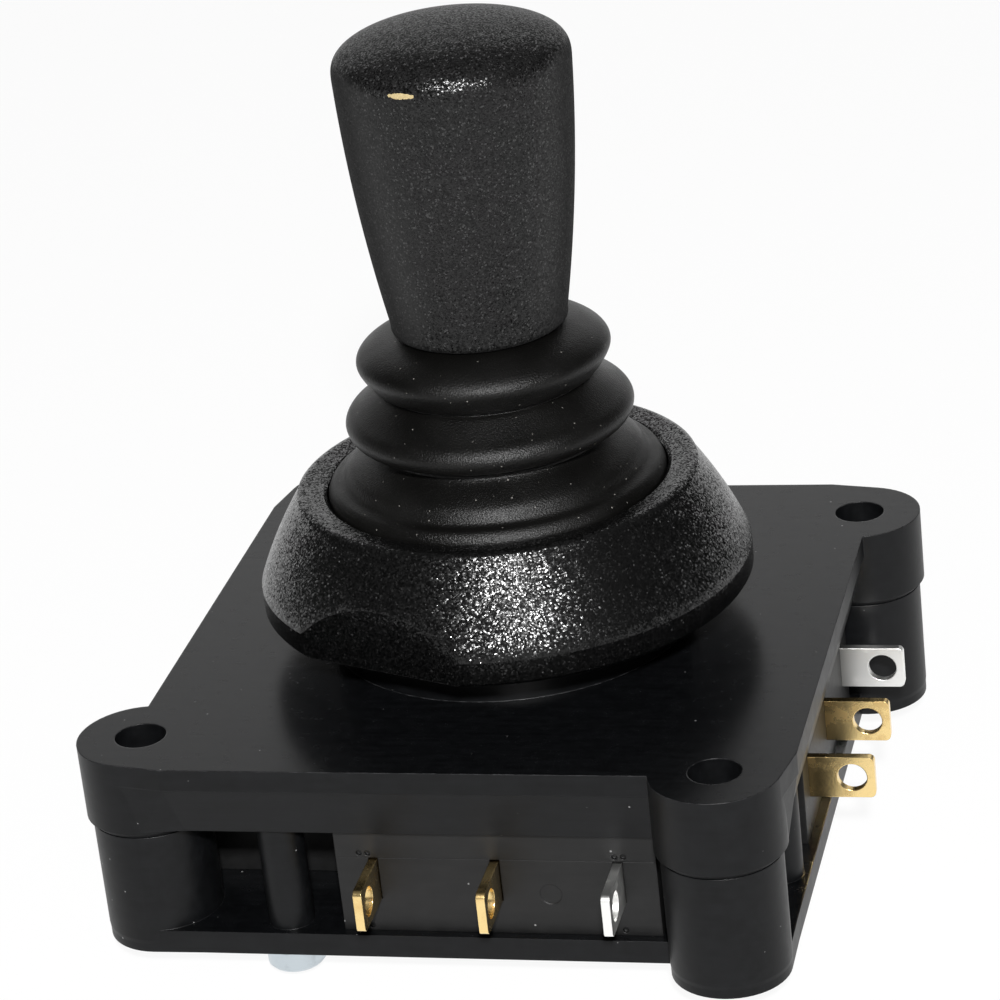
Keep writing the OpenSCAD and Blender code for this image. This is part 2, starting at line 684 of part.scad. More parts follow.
// Case: the lower tray of a switch, with slots for its terminals and a bore for its plunger
module switch_case() color("#303134") difference() {
    union() {
        difference() {
            switch_block(switch_floor, split_z);
            switch_cavity(switch_floor + case_t, split_z + 1);
        }
        for (p = fix_holes) translate([p[0], p[1], switch_floor])
            cylinder(d = fix_tube_d, h = split_z - switch_floor);
    }
    for (p = fix_holes) translate([p[0], p[1], switch_floor - 1])
        cylinder(d = fix_hole_d, h = switch_t);
    for (x = terminal_at) translate([x - terminal_t / 2 - slip / 2, face_y - 1, split_z - terminal_w - slip])
        cube([terminal_t + slip, case_t + 2, terminal_w + 1]);
    translate([0, inner_y + 1, plunger_z]) rotate([90, 0, 0])
        cylinder(d = plunger_d + 2 * running, h = case_t + 2);
    for (x = face_marks) face_mark(x, switch_floor + low_mark_in, mark_d, 0.3);
    face_mark(terminal_at[1] + 4.6, plunger_z - 1.3, 1.9, 0.06);
}

// Cover: the upper part of a switch
module switch_cover() color("#34353a") difference() {
    union() {
        difference() {
            switch_block(split_z, switch_top);
            switch_cavity(split_z - 1, switch_top - case_t);
        }
        for (p = fix_holes) translate([p[0], p[1], split_z])
            cylinder(d = fix_tube_d, h = switch_top - split_z);
    }
    for (p = fix_holes) translate([p[0], p[1], split_z - 1])
        cylinder(d = fix_hole_d, h = switch_t);
    for (x = face_marks, dx = [-0.37, 0.37])
        face_mark(x + dx, switch_top - top_mark_in, mark_d, 0.3);
}

// Small round moulding marks sunk in a switch's outer face
face_marks = [terminal_at[0] - 0.8, terminal_at[2] + 0.15];
top_mark_in = 2.75;
low_mark_in = 0.5;
mark_d = 0.5;

module face_mark(x, z, d, depth) {
    translate([x, face_y - 1, z]) rotate([-90, 0, 0]) cylinder(d = d, h = 1 + depth);
}

// Plunger, drawn half pressed: a round pin with a head that the case holds in
module switch_plunger() color("#b9332c") translate([0, inner_y, plunger_z]) rotate([-90, 0, 0])
    rotate_extrude() let (head = -case_t - plunger_travel - slip) polygon([
        [0, -plunger_in], [plunger_d / 2, -plunger_in],
        [plunger_d / 2, head - plunger_head_h], [plunger_head_d / 2, head - plunger_head_h],
        [plunger_head_d / 2, head], [plunger_d / 2, head],
        [plunger_d / 2, plunger_out - 0.25], [plunger_d / 2 - 0.25, plunger_out],
        [0, plunger_out]]);

// Snap blade with a rolled heel that it rocks on and the moving contact at its free end
heel_d = 1;
blade_x0 = terminal_at[0] + terminal_t / 2 + 0.2;
blade_x1 = terminal_at[2] - terminal_t / 2 - 0.5;
contact_x = blade_x1 - contact_d / 2;

module switch_blade() color("#b87a3c") {
    translate([blade_x0, blade_y - blade_t, plunger_z - blade_w / 2])
        cube([blade_x1 - blade_x0, blade_t, blade_w]);
    translate([blade_x0 + heel_d / 2, blade_y - blade_t / 2, plunger_z - blade_w / 2])
        cylinder(d = heel_d, h = blade_w);
    translate([contact_x, blade_y + contact_t, plunger_z]) rotate([90, 0, 0])
        cylinder(d = contact_d, h = blade_t + 2 * contact_t);
}

// A terminal's tab, from its outer end to the depth y inside the switch
module terminal_tab(x, y) {
    end = face_y - terminal_out;
    top = split_z - slip;
    r = terminal_round;
    difference() {
        translate([x - terminal_t / 2, 0, 0]) rotate([90, 0, 90]) linear_extrude(terminal_t) {
            translate([end + r, top - terminal_w]) square([y - end - r, terminal_w]);
            translate([end, top - terminal_w + r]) square([r + eps, terminal_w - 2 * r]);
            for (z = [top - r, top - terminal_w + r]) translate([end + r, z]) circle(r, $fn = 24);
        }
        translate([x - 1, end + terminal_hole_in, top - terminal_w / 2]) rotate([0, 90, 0])
            cylinder(d = terminal_hole_d, h = 2, $fn = 32);
    }
}

// A fixed contact: a leg along the switch from x0 to x1, with a rivet on one face
module fixed_contact(x0, x1, y, rivet_side) {
    translate([min(x0, x1), y, split_z - slip - terminal_w])
        cube([abs(x1 - x0), terminal_t, terminal_w]);
    translate([contact_x, y + (rivet_side > 0 ? terminal_t - eps : eps), plunger_z])
        rotate([-90 * rivet_side, 0, 0]) cylinder(d = contact_d, h = contact_t);
}

// Places of the fixed contacts: the moving one works between them
closed_y = blade_y + contact_t + contact_gap + contact_t;
open_y = blade_y - blade_t - contact_t - contact_gap - contact_t - terminal_t;

// Gold terminals: the common one holds the blade, the other is the normally open contact
module gold_terminals() color("#d9a53b") {
    terminal_tab(terminal_at[0], blade_y - blade_t / 2);
    terminal_tab(terminal_at[1], open_y + terminal_t);
    fixed_contact(terminal_at[1], contact_x + contact_d / 2, open_y, 1);
}

// Silver terminal: the normally closed contact
module silver_terminal() color("#c9cdd0") {
    terminal_tab(terminal_at[2], closed_y + terminal_t);
    fixed_contact(terminal_at[2], contact_x - contact_d / 2, closed_y, -1);
}

module switch_part(piece) {
    if (piece == "case") switch_case();
    if (piece == "cover") switch_cover();
    if (piece == "plunger") switch_plunger();
    if (piece == "blade") switch_blade();
    if (piece == "gold_terminals") gold_terminals();
    if (piece == "silver_terminal") silver_terminal();
}

top_housing();
base_housing();
base_screws();
switch_pins();
bezel();
bellows();
gate_plate();
centring_spring();
trunnion_pins();
gimbal_ring();
cross_pin();
pivot_hub();
shaft();
spring_collar();
knob();
knob_insert();
actuator();
retaining_clip();
for (i = [0:3], piece = SWITCH_PARTS)
    rotate(90 * i) switch_part(piece);
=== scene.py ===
"""Looks of a panel-mount industrial joystick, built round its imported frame.

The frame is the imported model's, in metres: the origin lies on the stick's axis in the top face
of the mounting plate, +Z runs up the stick and -Y is the front. The pieces and the finishes give
their sizes in millimetres, and the studio and the camera in metres.
"""

from __future__ import annotations

import logging
import math
from dataclasses import dataclass, field
from enum import Enum

import bmesh
import bpy
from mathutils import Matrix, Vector

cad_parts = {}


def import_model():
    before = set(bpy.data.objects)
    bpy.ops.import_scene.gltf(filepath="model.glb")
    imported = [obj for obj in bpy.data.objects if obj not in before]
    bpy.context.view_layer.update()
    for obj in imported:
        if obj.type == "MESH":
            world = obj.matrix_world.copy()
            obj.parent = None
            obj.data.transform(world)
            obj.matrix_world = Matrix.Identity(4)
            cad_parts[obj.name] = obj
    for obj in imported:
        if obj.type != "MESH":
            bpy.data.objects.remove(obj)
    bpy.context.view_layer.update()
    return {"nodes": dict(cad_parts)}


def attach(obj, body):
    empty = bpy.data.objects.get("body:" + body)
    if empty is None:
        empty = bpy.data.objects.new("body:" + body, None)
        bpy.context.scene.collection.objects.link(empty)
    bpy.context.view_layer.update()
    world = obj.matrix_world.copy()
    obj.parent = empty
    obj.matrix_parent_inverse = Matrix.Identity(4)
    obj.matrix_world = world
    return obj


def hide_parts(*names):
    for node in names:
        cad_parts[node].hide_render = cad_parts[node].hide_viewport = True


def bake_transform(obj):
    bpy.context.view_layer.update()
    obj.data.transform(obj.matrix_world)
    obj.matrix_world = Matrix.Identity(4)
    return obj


LOG = logging.getLogger("joystick")
MM = 0.001

Colour = tuple[float, float, float]
Point = tuple[float, float, float]
Span = tuple[float, float]
Line = list[Span]  # points of a drawn line, in millimetres
Feed = float | int | tuple[float, ...] | bpy.types.NodeSocket  # what a node's input takes


# ---- Node trees ----


class Graph:
    """Adds nodes to one node tree and links them."""

    def __init__(self, tree: bpy.types.NodeTree) -> None:
        """Takes the tree that the nodes go into."""
        self.tree = tree

    def node(self, kind: str, **settings: object) -> bpy.types.Node:
        """Adds a node.

        Args:
            kind: The node's type without its ShaderNode prefix.
            settings: Attributes of the node.

        Returns:
            The new node.
        """
        made = self.tree.nodes.new(f"ShaderNode{kind}")
        for name, value in settings.items():
            setattr(made, name, value)
        return made

    def feed(self, socket: bpy.types.NodeSocket, value: Feed) -> None:
        """Gives a socket a plain value or a link.

        Args:
            socket: The input to set.
            value: A number, a tuple or an output socket.
        """
        if isinstance(value, bpy.types.NodeSocket):
            self.tree.links.new(value, socket)
        elif isinstance(value, tuple) and len(value) == 3 and socket.type == "RGBA":
            socket.default_value = (*value, 1.0)
        else:
            socket.default_value = value

    def fed(self, kind: str, values: tuple[Feed, ...], **settings: object) -> bpy.types.Node:
        """Adds a node and feeds its first inputs.

        Args:
            kind: The node's type without its ShaderNode prefix.
            values: What the inputs get, in their order.
            settings: Attributes of the node.

        Returns:
            The new node.
        """
        made = self.node(kind, **settings)
        for socket, value in zip(made.inputs, values):
            self.feed(socket, value)
        return made

    def math(self, operation: str, a: Feed, b: Feed = 0.0, c: Feed = 0.0) -> bpy.types.NodeSocket:
        """Combines up to three numbers by one of the Math node's operations."""
        return self.fed("Math", (a, b, c), operation=operation).outputs[0]

    def vector(self, operation: str, a: Feed, b: Feed = (0.0, 0.0, 0.0)) -> bpy.types.Node:
        """Combines vectors.

        Args:
            operation: The Vector Math node's operation.
            a: First operand.
            b: Second operand, or the scale of SCALE.

        Returns:
            The node, whose first output is a vector and second a value.
        """
        made = self.node("VectorMath", operation=operation)
        self.feed(made.inputs[0], a)
        self.feed(made.inputs["Scale"] if operation == "SCALE" else made.inputs[1], b)
        return made

    def ramp(self, value: Feed, low: Feed, high: Feed, start: Feed = 0.0, end: Feed = 1.0,
             smooth: bool = False) -> bpy.types.NodeSocket:
        """Maps a range of numbers to another.

        Args:
            value: What is mapped.
            low: Value that gives start.
            high: Value that gives end.
            start: Result at low and below.
            end: Result at high and above.
            smooth: Whether the change eases in and out.

        Returns:
            The mapped number's socket.
        """
        made = self.node("MapRange", interpolation_type="SMOOTHSTEP" if smooth else "LINEAR")
        for name, number in zip(("Value", "From Min", "From Max", "To Min", "To Max"),
                                (value, low, high, start, end)):
            self.feed(made.inputs[name], number)
        return made.outputs[0]

    def mix(self, share: Feed, a: Feed, b: Feed) -> bpy.types.NodeSocket:
        """Mixes two colours.

        Args:
            share: 0 gives a and 1 gives b.
            a: First colour.
            b: Second colour.

        Returns:
            The mixed colour's socket.
        """
        made = self.node("Mix", data_type="RGBA")
        self.feed(made.inputs[0], share)
        self.feed(made.inputs[6], a)
        self.feed(made.inputs[7], b)
        return made.outputs[2]

    def noise(self, where: Feed, scale: Feed, detail: float = 2.0,
              roughness: float = 0.5) -> bpy.types.NodeSocket:
        """Adds a noise texture.

        Args:
            where: Coordinates.
            scale: Cells per metre.
            detail: Octaves.
            roughness: Weight of the finer octaves.

        Returns:
            The noise's value socket.
        """
        made = self.node("TexNoise")
        self.feed(made.inputs["Vector"], where)
        self.feed(made.inputs["Scale"], scale)
        made.inputs["Detail"].default_value = detail
        made.inputs["Roughness"].default_value = roughness
        return made.outputs["Fac"]

    def cells(self, where: Feed, scale: Feed) -> bpy.types.Node:
        """Adds a Voronoi texture.

        Args:
            where: Coordinates.
            scale: Cells per metre.

        Returns:
            The texture node.
        """
        made = self.node("TexVoronoi")
        self.feed(made.inputs["Vector"], where)
        self.feed(made.inputs["Scale"], scale)
        return made

    def where(self) -> bpy.types.NodeSocket:
        """Gives the place on the surface, in the object's own coordinates."""
        return self.node("TexCoord").outputs["Object"]

    def per_metre(self, pitch: Feed) -> bpy.types.NodeSocket:
        """Turns a pitch in millimetres into cells per metre."""
        return self.math("DIVIDE", 1.0 / MM, pitch)

    def spread(self, noise: Feed, start: Feed, end: Feed) -> bpy.types.NodeSocket:
        """Maps the range that a noise mostly fills to start and end."""
        return self.ramp(noise, 0.3, 0.7, start, end)

    def split(self, whole: Feed, kind: str = "XYZ") -> list[bpy.types.NodeSocket]:
        """Takes a vector (XYZ) or a colour (Color) apart into three numbers."""
        return list(self.fed(f"Separate{kind}", (whole,)).outputs)

    def join(self, x: Feed, y: Feed, z: Feed) -> bpy.types.NodeSocket:
        """Puts a vector together from three numbers."""
        return self.fed("CombineXYZ", (x, y, z)).outputs[0]


class Side(Enum):
    """The housing's four sides, each with a switch."""

    FRONT = "front"
    RIGHT = "right"
    REAR = "rear"
    LEFT = "left"


class Effect(Enum):
    """Surface effects that several finishes share, each a node group."""

    ERODED = "spark_eroded_skin"
    RUB = "edge_rub"
    DUST = "dust_specks"
    FLOW = "moulding_flow"
    BRUSH = "drawn_lines"


@dataclass
class EffectLibrary:
    """Builds each effect's node group once and places it in materials."""

    groups: dict[Effect, bpy.types.NodeTree] = field(default_factory=dict)

    def place(self, graph: Graph, effect: Effect, **values: Feed) -> bpy.types.Node:
        """Places an effect in a material.

        Args:
            graph: The material's graph.
            effect: Which effect.
            values: Values of the group's inputs, with underscores for blanks.

        Returns:
            The group's node.
        """
        if effect not in self.groups:
            maker = {Effect.ERODED: self._eroded, Effect.RUB: self._rub, Effect.DUST: self._dust,
                     Effect.FLOW: self._flow, Effect.BRUSH: self._brush}[effect]
            self.groups[effect] = maker(effect.value)
        made = graph.node("Group", node_tree=self.groups[effect])
        for name, value in values.items():
            graph.feed(made.inputs[name.replace("_", " ")], value)
        return made

    @staticmethod
    def _open(name: str, inputs: dict[str, float], outputs: dict[str, str]
              ) -> tuple[Graph, dict[str, bpy.types.NodeSocket], bpy.types.Node]:
        """Starts a group.

        Args:
            name: The group's name.
            inputs: Name and default of each number that goes in.
            outputs: Name and kind of each value that comes out.

        Returns:
            The group's graph, its inputs by name, and its output node.
        """
        tree = bpy.data.node_groups.new(name, "ShaderNodeTree")
        for label, default in inputs.items():
            socket = tree.interface.new_socket(label, in_out="INPUT", socket_type="NodeSocketFloat")
            socket.default_value = default
        for label, kind in outputs.items():
            tree.interface.new_socket(label, in_out="OUTPUT", socket_type=f"NodeSocket{kind}")
        graph = Graph(tree)
        source = tree.nodes.new("NodeGroupInput")
        sink = tree.nodes.new("NodeGroupOutput")
        return graph, {label: source.outputs[label] for label in inputs}, sink

    def _eroded(self, name: str) -> bpy.types.NodeTree:
        """Builds the rough skin that a spark-eroded mould leaves.

        Args:
            name: The group's name.

        Returns:
            The group, with a height, a shade, the glints' mask and a facet normal.
        """
        coarse_scale, coarse_height, lump_height, glint_lean = 0.45, 0.8, 0.5, 1.5
        graph, put, out = self._open(
            name, {"Grain": 0.2, "Glint Share": 0.1, "Tilt": 0.3},
            {"Height": "Float", "Shade": "Float", "Glint": "Float", "Normal": "Vector"})
        where = graph.where()
        scale = graph.per_metre(put["Grain"])
        cells = graph.cells(where, scale)
        coarse = graph.noise(where, graph.math("MULTIPLY", scale, coarse_scale),
                             detail=3.0, roughness=0.6)
        lumps = graph.math("SUBTRACT", 1.0, cells.outputs["Distance"])
        graph.feed(out.inputs["Height"], graph.math(
            "MULTIPLY_ADD", coarse, coarse_height, graph.math("MULTIPLY", lumps, lump_height)))
        shade, chance, _ = graph.split(cells.outputs["Color"], "Color")
        graph.feed(out.inputs["Shade"], shade)
        glint = graph.math("GREATER_THAN", chance,
                           graph.math("SUBTRACT", 1.0, put["Glint Share"]))
        graph.feed(out.inputs["Glint"], glint)
        lean = graph.vector("SUBTRACT", cells.outputs["Color"], (0.5, 0.5, 0.5))
        steep = graph.math("MULTIPLY", put["Tilt"], graph.ramp(glint, 0.0, 1.0, 1.0, glint_lean))
        lean = graph.vector("SCALE", lean.outputs[0], steep)
        tipped = graph.vector("ADD", graph.node("NewGeometry").outputs["Normal"], lean.outputs[0])
        graph.feed(out.inputs["Normal"], graph.vector("NORMALIZE", tipped.outputs[0]).outputs[0])
        return graph.tree

    def _rub(self, name: str) -> bpy.types.NodeTree:
        """Builds the mask of rubbed and lightly burred edges.

        Args:
            name: The group's name.

        Returns:
            The group, with the mask and a normal that rounds the edges.
        """
        patch_from, patch_to = 0.42, 0.62
        graph, put, out = self._open(
            name, {"Radius": 0.3, "Patchiness": 0.6, "Gain": 3.0, "Patch": 1.1},
            {"Mask": "Float", "Normal": "Vector"})
        soft = graph.node("Bevel", samples=6)
        graph.feed(soft.inputs["Radius"], graph.math("MULTIPLY", put["Radius"], MM))
        true = graph.node("NewGeometry").outputs["Normal"]
        bend = graph.math("SUBTRACT", 1.0,
                          graph.vector("DOT_PRODUCT", soft.outputs[0], true).outputs["Value"])
        patches = graph.noise(graph.where(), graph.per_metre(put["Patch"]),
                              detail=3.0, roughness=0.65)
        patches = graph.ramp(patches, patch_from, patch_to)
        patches = graph.math("SUBTRACT", 1.0, graph.math(
            "MULTIPLY", put["Patchiness"], graph.math("SUBTRACT", 1.0, patches)))
        worn = graph.math("MULTIPLY", graph.math("MULTIPLY", bend, put["Gain"]), patches)
        graph.feed(out.inputs["Mask"], graph.math("MINIMUM", worn, 1.0))
        graph.feed(out.inputs["Normal"], soft.outputs[0])
        return graph.tree

    def _dust(self, name: str) -> bpy.types.NodeTree:
        """Builds the mask of loose dust specks.

        Args:
            name: The group's name.

        Returns:
            The group, with the mask.
        """
        graph, put, out = self._open(name, {"Spacing": 1.2, "Share": 0.2, "Speck": 0.12},
                                     {"Mask": "Float"})
        cells = graph.cells(graph.where(), graph.per_metre(put["Spacing"]))
        chance, bulk, _ = graph.split(cells.outputs["Color"], "Color")
        chosen = graph.math("LESS_THAN", chance, put["Share"])
        size = graph.math("MULTIPLY", put["Speck"], bulk)
        near = graph.math("LESS_THAN", cells.outputs["Distance"], size)
        graph.feed(out.inputs["Mask"], graph.math("MULTIPLY", chosen, near))
        return graph.tree

    def _flow(self, name: str) -> bpy.types.NodeTree:
        """Builds the fine lines that filled plastic shows along its flow.

        Args:
            name: The group's name.

        Returns:
            The group, with a height and a shade.
        """
        grain_scale, grain_height = 2600.0, 0.5
        graph, put, out = self._open(name, {"Pitch": 0.5, "Stretch": 24.0},
                                     {"Height": "Float", "Shade": "Float"})
        where = graph.where()
        x, y, z = graph.split(where)
        drawn = graph.join(graph.math("DIVIDE", x, put["Stretch"]), y, z)
        lines = graph.noise(drawn, graph.per_metre(put["Pitch"]), detail=4.0, roughness=0.6)
        grain = graph.noise(where, grain_scale)
        graph.feed(out.inputs["Height"], graph.math("MULTIPLY_ADD", grain, grain_height, lines))
        graph.feed(out.inputs["Shade"], lines)
        return graph.tree

    def _brush(self, name: str) -> bpy.types.NodeTree:
        """Builds the drawn lines and small stains of strip metal.

        Args:
            name: The group's name.

        Returns:
            The group, with a height and a stain mask.
        """
        squeeze, stain_scale, stain_from, stain_to = 0.1, 420.0, 0.45, 0.7
        graph, put, out = self._open(name, {"Pitch": 0.15}, {"Height": "Float", "Stain": "Float"})
        where = graph.where()
        x, y, z = graph.split(where)
        drawn = graph.join(x, graph.math("MULTIPLY", y, squeeze), z)
        graph.feed(out.inputs["Height"], graph.noise(
            drawn, graph.per_metre(put["Pitch"]), detail=3.0, roughness=0.6))
        stain = graph.noise(where, stain_scale, detail=4.0, roughness=0.65)
        graph.feed(out.inputs["Stain"], graph.ramp(stain, stain_from, stain_to, smooth=True))
        return graph.tree


EFFECTS = EffectLibrary()


# ---- Finishes ----


def new_material(name: str) -> tuple[bpy.types.Material, Graph, bpy.types.Node]:
    """Starts a material with an empty Principled shader.

    Args:
        name: The material's name.

    Returns:
        The material, its graph and its shader.
    """
    material = bpy.data.materials.new(name)
    material.use_nodes = True
    material.node_tree.nodes.clear()
    graph = Graph(material.node_tree)
    shader = graph.node("BsdfPrincipled")
    output = graph.node("OutputMaterial")
    graph.feed(output.inputs["Surface"], shader.outputs[0])
    return material, graph, shader


def bump(graph: Graph, height: Feed, depth: float, normal: Feed | None = None
         ) -> bpy.types.NodeSocket:
    """Adds a Bump node.

    Args:
        graph: The material's graph.
        height: The height, from about 0 to 1.
        depth: What a height of 1 stands for, in millimetres.
        normal: Normal to start from, if not the surface's own.

    Returns:
        The new normal's socket.
    """
    made = graph.node("Bump")
    made.inputs["Distance"].default_value = depth * MM
    graph.feed(made.inputs["Height"], height)
    if normal is not None:
        graph.feed(made.inputs["Normal"], normal)
    return made.outputs[0]


def set_surface(graph: Graph, shader: bpy.types.Node, colour: Feed, rough: Feed, normal: Feed
                ) -> None:
    """Feeds what changes over a surface to its shader.

    Args:
        graph: The material's graph.
        shader: Its Principled shader.
        colour: The base colour.
        rough: The roughness.
        normal: The normal.
    """
    for name, value in (("Base Color", colour), ("Roughness", rough), ("Normal", normal)):
        graph.feed(shader.inputs[name], value)


@dataclass(frozen=True)
class ErodedPlastic:
    """Black plastic from a spark-eroded mould: matt, grainy and full of small glints."""

    name: str
    colour: Colour = (0.0026, 0.0026, 0.0026)
    facet_shade: Span = (0.25, 1.75)
    # Lighter base colour of the glint cells, a painted glint.
    painted_glint_colour: Colour = (0.012, 0.012, 0.012)
    worn: Colour = (0.1, 0.1, 0.1)
    wear: float = 0.5
    grain: float = 0.15
    glint_share: float = 0.06
    tilt: float = 0.34
    roughness: float = 0.24
    glint_roughness: float = 0.12
    depth: float = 0.012
    shine: float = 0.27
    limb: Span = (0.15, 0.65)
    limb_roughness: float = 0.25
    limb_up: Span = (0.2, 0.6)
    limb_top: float = 0.0
    draft: float = 0.0
    draft_up: Span = (0.1, 0.3)
    nick: tuple[Point, Point] | None = None
    nick_colour: Colour = (0.34, 0.27, 0.14)
    nick_roughness: float = 0.6

    def material(self) -> bpy.types.Material:
        """Builds the material.

        Returns:
            The material.
        """
        made, graph, shader = new_material(self.name)
        skin = EFFECTS.place(graph, Effect.ERODED, Grain=self.grain, Glint_Share=self.glint_share,
                             Tilt=self.tilt)
        rub = EFFECTS.place(graph, Effect.RUB, Radius=0.12, Patchiness=0.7, Gain=1.5, Patch=0.35)
        shade = graph.ramp(skin.outputs["Shade"], 0.0, 1.0, *self.facet_shade)
        colour = graph.vector("SCALE", self.colour, shade).outputs[0]
        # Painted glints: the glint cells get a lighter base colour, on top of their real sharper
        # and steeper facets.
        colour = graph.mix(skin.outputs["Glint"], colour, self.painted_glint_colour)
        worn = graph.math("MULTIPLY", rub.outputs["Mask"], self.wear)
        colour = graph.mix(worn, colour, self.worn)
        rough = graph.ramp(skin.outputs["Glint"], 0.0, 1.0, self.roughness, self.glint_roughness)
        up = graph.split(graph.node("NewGeometry").outputs["True Normal"])[2]
        rough = graph.math("MAXIMUM", rough, self._limb(graph, up))
        if self.nick is not None:
            mask = self._nick_mask(graph)
            colour = graph.mix(mask, colour, self.nick_colour)
            rough = graph.ramp(mask, 0.0, 1.0, rough, self.nick_roughness)
        drop = graph.join(0.0, 0.0, graph.ramp(up, *self.draft_up, -self.draft, 0.0))
        leant = graph.vector("ADD", skin.outputs["Normal"], drop)
        leant = graph.vector("NORMALIZE", leant.outputs[0]).outputs[0]
        set_surface(graph, shader, colour, rough,
                    bump(graph, skin.outputs["Height"], self.depth, leant))
        shader.inputs["Specular IOR Level"].default_value = self.shine
        return made

    def _limb(self, graph: Graph, up: Feed) -> bpy.types.NodeSocket:
        """Makes the surface duller where it turns away, mostly on its sides.

        Args:
            graph: The material's graph.
            up: How far the surface faces up, from -1 to 1.

        Returns:
            The least roughness.
        """
        facing = graph.node("LayerWeight").outputs["Facing"]
        turned = graph.ramp(facing, *self.limb, 0.0, self.limb_roughness)
        return graph.math("MULTIPLY", turned,
                          graph.ramp(up, *self.limb_up, 1.0, self.limb_top))

    def _nick_mask(self, graph: Graph) -> bpy.types.NodeSocket:
        """Masks the small chip in the surface.

        Args:
            graph: The material's graph.

        Returns:
            The mask's socket.
        """
        ragged_scale, ragged, edge = 3000.0, 0.8, 1.35
        centre, half = (tuple(c * MM for c in point) for point in self.nick)
        where = graph.where()
        wobble = graph.math("MULTIPLY", graph.noise(where, ragged_scale), ragged)
        away = graph.vector("SUBTRACT", where, centre)
        away = graph.vector("DIVIDE", away.outputs[0], half)
        reach = graph.vector("LENGTH", away.outputs[0]).outputs["Value"]
        return graph.math("LESS_THAN", graph.math("ADD", reach, wobble), edge)


@dataclass(frozen=True)
class SatinPlastic:
    """Charcoal filled plastic with flow lines, rubbed edges and dust."""

    name: str
    colour: Colour = (0.0027, 0.0029, 0.0033)
    worn: Colour = (0.12, 0.12, 0.125)
    roughness: float = 0.25
    side_roughness: float = 0.42
    side_up: Span = (0.5, 0.9)
    flow_depth: float = 0.006
    flow_shade: Span = (0.8, 1.25)
    cloud_scale: float = 700.0
    cloud_shade: Span = (0.75, 1.3)
    cloud_roughness: Span = (-0.03, 0.035)
    dust: float = 0.05
    dust_colour: Colour = (0.3, 0.3, 0.3)
    dust_cover: float = 0.5
    wear: float = 0.5
    # Heights in millimetres over which the lighter edges fade to a small share lower down.
    edge_fade_z: Span = (-0.8, -0.3)
    low_edge_share: float = 0.12
    shine: float = 0.2

    def material(self) -> bpy.types.Material:
        """Builds the material.

        Returns:
            The material.
        """
        made, graph, shader = new_material(self.name)
        flow = EFFECTS.place(graph, Effect.FLOW, Pitch=0.6, Stretch=9.0)
        rub = EFFECTS.place(graph, Effect.RUB, Radius=0.15, Patchiness=0.9, Gain=2.2, Patch=0.8)
        dust = EFFECTS.place(graph, Effect.DUST, Spacing=0.6, Share=self.dust, Speck=0.16)
        where = graph.where()
        cloud = graph.noise(where, self.cloud_scale, detail=4.0, roughness=0.7)
        lines = graph.ramp(flow.outputs["Shade"], 0.35, 0.65, *self.flow_shade)
        shade = graph.math("MULTIPLY", lines, graph.spread(cloud, *self.cloud_shade))
        colour = graph.vector("SCALE", self.colour, shade).outputs[0]
        # Edge lightening is full near the top face and fades to a small share lower down.
        low_z, high_z = (z * MM for z in self.edge_fade_z)
        high = graph.ramp(graph.split(where)[2], low_z, high_z, self.low_edge_share, 1.0)
        worn = graph.math("MULTIPLY", graph.math("MULTIPLY", rub.outputs["Mask"], high), self.wear)
        colour = graph.mix(worn, colour, self.worn)
        specks = graph.math("MULTIPLY", dust.outputs["Mask"], self.dust_cover)
        colour = graph.mix(specks, colour, self.dust_colour)
        up = graph.split(graph.node("NewGeometry").outputs["True Normal"])[2]
        rough = graph.ramp(up, *self.side_up, self.side_roughness, self.roughness)
        rough = graph.math("ADD", rough, graph.spread(cloud, *self.cloud_roughness))
        set_surface(graph, shader, colour, rough, bump(
            graph, flow.outputs["Height"], self.flow_depth, rub.outputs["Normal"]))
        shader.inputs["Specular IOR Level"].default_value = self.shine
        return made


@dataclass(frozen=True)
class Rubber:
    """Matt black rubber with a faint mould texture and dust."""

    name: str
    colour: Colour = (0.0024, 0.0023, 0.0021)
    roughness: float = 0.38
    shine: float = 0.25
    texture_scale: float = 6500.0
    texture_depth: float = 0.06
    cloud_scale: float = 160.0
    cloud_shade: Span = (0.75, 1.35)
    cloud_roughness: Span = (-0.05, 0.08)
    dust_colour: Colour = (0.25, 0.24, 0.22)
    dust_cover: float = 0.6

    def material(self) -> bpy.types.Material:
        """Builds the material.

        Returns:
            The material.
        """
        made, graph, shader = new_material(self.name)
        where = graph.where()
        fine = graph.noise(where, self.texture_scale, detail=2.0, roughness=0.7)
        broad = graph.noise(where, self.cloud_scale, detail=3.0, roughness=0.55)
        dust = EFFECTS.place(graph, Effect.DUST, Spacing=0.5, Share=0.34, Speck=0.16)
        shade = graph.spread(broad, *self.cloud_shade)
        colour = graph.vector("SCALE", self.colour, shade).outputs[0]
        specks = graph.math("MULTIPLY", dust.outputs["Mask"], self.dust_cover)
        colour = graph.mix(specks, colour, self.dust_colour)
        rough = graph.spread(broad, *(self.roughness + r for r in self.cloud_roughness))
        set_surface(graph, shader, colour, rough, bump(graph, fine, self.texture_depth))
        shader.inputs["Specular IOR Level"].default_value = self.shine
        return made


